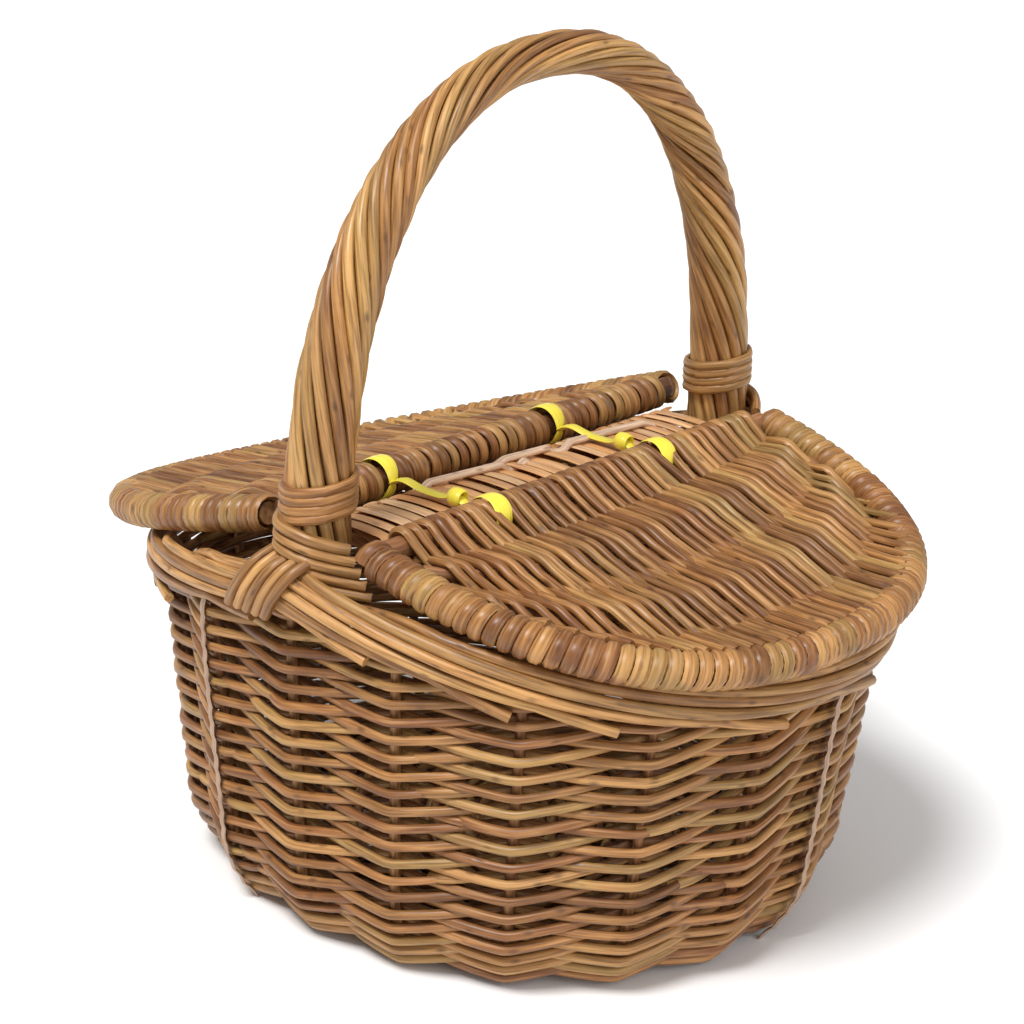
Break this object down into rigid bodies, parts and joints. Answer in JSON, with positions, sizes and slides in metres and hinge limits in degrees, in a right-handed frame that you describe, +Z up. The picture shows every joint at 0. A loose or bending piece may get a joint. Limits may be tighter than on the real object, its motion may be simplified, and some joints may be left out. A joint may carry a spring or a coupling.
{
  "type": "wicker basket",
  "caption": "Oval willow picnic basket with a roped arch handle, a flat bridge between its feet and two D-shaped flap lids hinged on yellow straps.",
  "frame": {"origin": "centre of the base between the handle's feet, on the ground", "axes": "+Z up, the handle's arch in the plane X = 0 with its feet at -Y and +Y, the right lid towards +X"},
  "size_m": [0.409, 0.3308, 0.3956],
  "materials": {
    "woven_willow": "satin round willow rods, honey to red-brown",
    "willow_stick": "satin willow sticks",
    "border_willow": "satin thicker willow rods",
    "roped_willow": "satin willow rods, light honey",
    "wrapped_willow": "satin wrapped willow",
    "buff_skein": "satin split buff willow",
    "yellow_strap": "glossy yellow strip"
  },
  "bodies": {
    "basket": {"base_weave": "woven_willow", "base_stick_1": "willow_stick", "base_stick_2": "willow_stick", "upsett_weave": "woven_willow", "side_weave": "woven_willow", "stake_01": "willow_stick", "stake_02": "willow_stick", "stake_03": "willow_stick", "stake_04": "willow_stick", "stake_05": "willow_stick", "stake_06": "willow_stick", "stake_07": "willow_stick", "stake_08": "willow_stick", "stake_09": "willow_stick", "stake_10": "willow_stick", "stake_11": "willow_stick", "stake_12": "willow_stick", "stake_13": "willow_stick", "stake_14": "willow_stick", "stake_15": "willow_stick", "stake_16": "willow_stick", "border_rod_1": "border_willow", "border_rod_2": "border_willow", "handle_core": "border_willow", "handle_strand_1": "roped_willow", "handle_strand_2": "roped_willow", "handle_strand_3": "roped_willow", "handle_strand_4": "roped_willow", "handle_strand_5": "roped_willow", "handle_strand_6": "roped_willow", "foot_binding_front": "roped_willow", "foot_binding_back": "roped_willow", "foot_lashing_front": "roped_willow", "foot_lashing_back": "roped_willow", "bridge_weave": "buff_skein", "bridge_rail_left": "willow_stick", "bridge_rail_right": "willow_stick", "strap_front_loop_left": "yellow_strap", "strap_front_loop_right": "yellow_strap", "strap_front_tie": "yellow_strap", "strap_back_loop_left": "yellow_strap", "strap_back_loop_right": "yellow_strap", "strap_back_tie": "yellow_strap"},
    "lid_right": {"lid_right_hinge_bar": "wrapped_willow", "lid_right_hoop": "wrapped_willow", "lid_right_rib_1": "willow_stick", "lid_right_rib_2": "willow_stick", "lid_right_weave": "woven_willow"},
    "lid_left": {"lid_left_hinge_bar": "wrapped_willow", "lid_left_hoop": "wrapped_willow", "lid_left_rib_1": "willow_stick", "lid_left_rib_2": "willow_stick", "lid_left_weave": "woven_willow"}
  },
  "joints": [
    {"name": "lid_right_hinge", "type": "hinge", "parent": "basket", "child": "lid_right", "pos_m": [0.0338, 0, 0.1955], "axis": [0, -1, 0], "range_deg": [0, 105]},
    {"name": "lid_left_hinge", "type": "hinge", "parent": "basket", "child": "lid_left", "pos_m": [-0.0338, 0, 0.1955], "axis": [0, 1, 0], "range_deg": [0, 105]}
  ]
}
